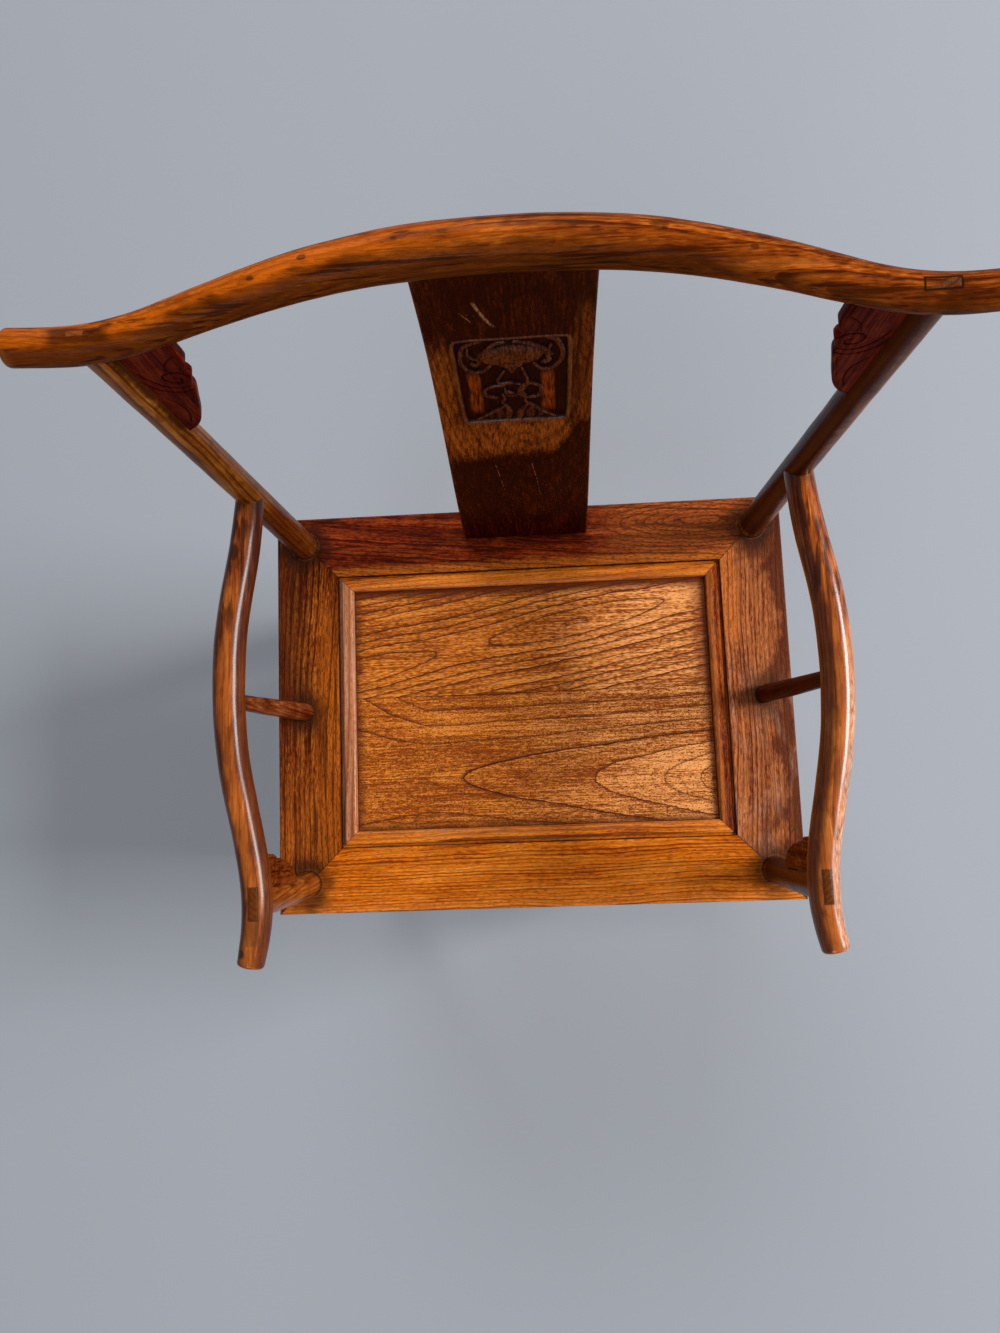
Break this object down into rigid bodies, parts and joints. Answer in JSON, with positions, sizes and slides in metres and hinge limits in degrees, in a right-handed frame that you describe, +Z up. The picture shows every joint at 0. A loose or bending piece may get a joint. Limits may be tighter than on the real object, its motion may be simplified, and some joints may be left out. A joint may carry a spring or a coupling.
{
  "type": "official's hat armchair",
  "caption": "Wooden armchair with a bowed crest rail and arms that run past their posts, carved back splat, framed board seat and stepped stretchers.",
  "frame": {"origin": "on the floor, under the middle of the chair's box", "axes": "+Z up; the sitter faces -Y; +X is to the right when the chair is seen from the front"},
  "size_m": [0.6312, 0.4962, 1.074],
  "materials": {
    "elm_crest": "waxed elm, orange brown, satin",
    "elm_arm": "waxed elm, orange brown, satin from handling",
    "elm_post": "waxed elm, orange brown, satin",
    "elm_splat": "waxed elm, very dark brown with ochre wear",
    "elm_carved": "carved elm, dark red brown",
    "elm_frame": "waxed elm, orange brown, satin",
    "elm_bead": "waxed elm, orange, worn along its edge",
    "elm_board": "waxed elm boards with open pores, brown",
    "elm_apron": "waxed elm, red brown",
    "elm_stretcher": "waxed elm, red brown, worn on top",
    "elm_batten": "plain elm, hardly finished"
  },
  "bodies": {
    "root": {"crest_rail": "elm_crest", "left_arm": "elm_arm", "right_arm": "elm_arm", "left_rear_leg": "elm_post", "right_rear_leg": "elm_post", "left_front_leg": "elm_post", "right_front_leg": "elm_post", "left_side_post": "elm_post", "right_side_post": "elm_post", "back_splat": "elm_splat", "left_crest_spandrel": "elm_carved", "right_crest_spandrel": "elm_carved", "left_arm_spandrel": "elm_carved", "right_arm_spandrel": "elm_carved", "front_frame_rail": "elm_frame", "rear_frame_rail": "elm_frame", "left_frame_rail": "elm_frame", "right_frame_rail": "elm_frame", "front_bead_strip": "elm_bead", "rear_bead_strip": "elm_bead", "left_bead_strip": "elm_bead", "right_bead_strip": "elm_bead", "front_seat_board": "elm_board", "rear_seat_board": "elm_board", "front_apron": "elm_apron", "rear_apron": "elm_apron", "left_apron": "elm_apron", "right_apron": "elm_apron", "front_apron_left_side": "elm_apron", "front_apron_right_side": "elm_apron", "left_apron_front_side": "elm_apron", "left_apron_rear_side": "elm_apron", "right_apron_front_side": "elm_apron", "right_apron_rear_side": "elm_apron", "footrest_apron": "elm_apron", "footrest": "elm_stretcher", "rear_stretcher": "elm_stretcher", "left_stretcher": "elm_stretcher", "right_stretcher": "elm_stretcher", "left_batten": "elm_batten", "right_batten": "elm_batten"}
  },
  "joints": []
}
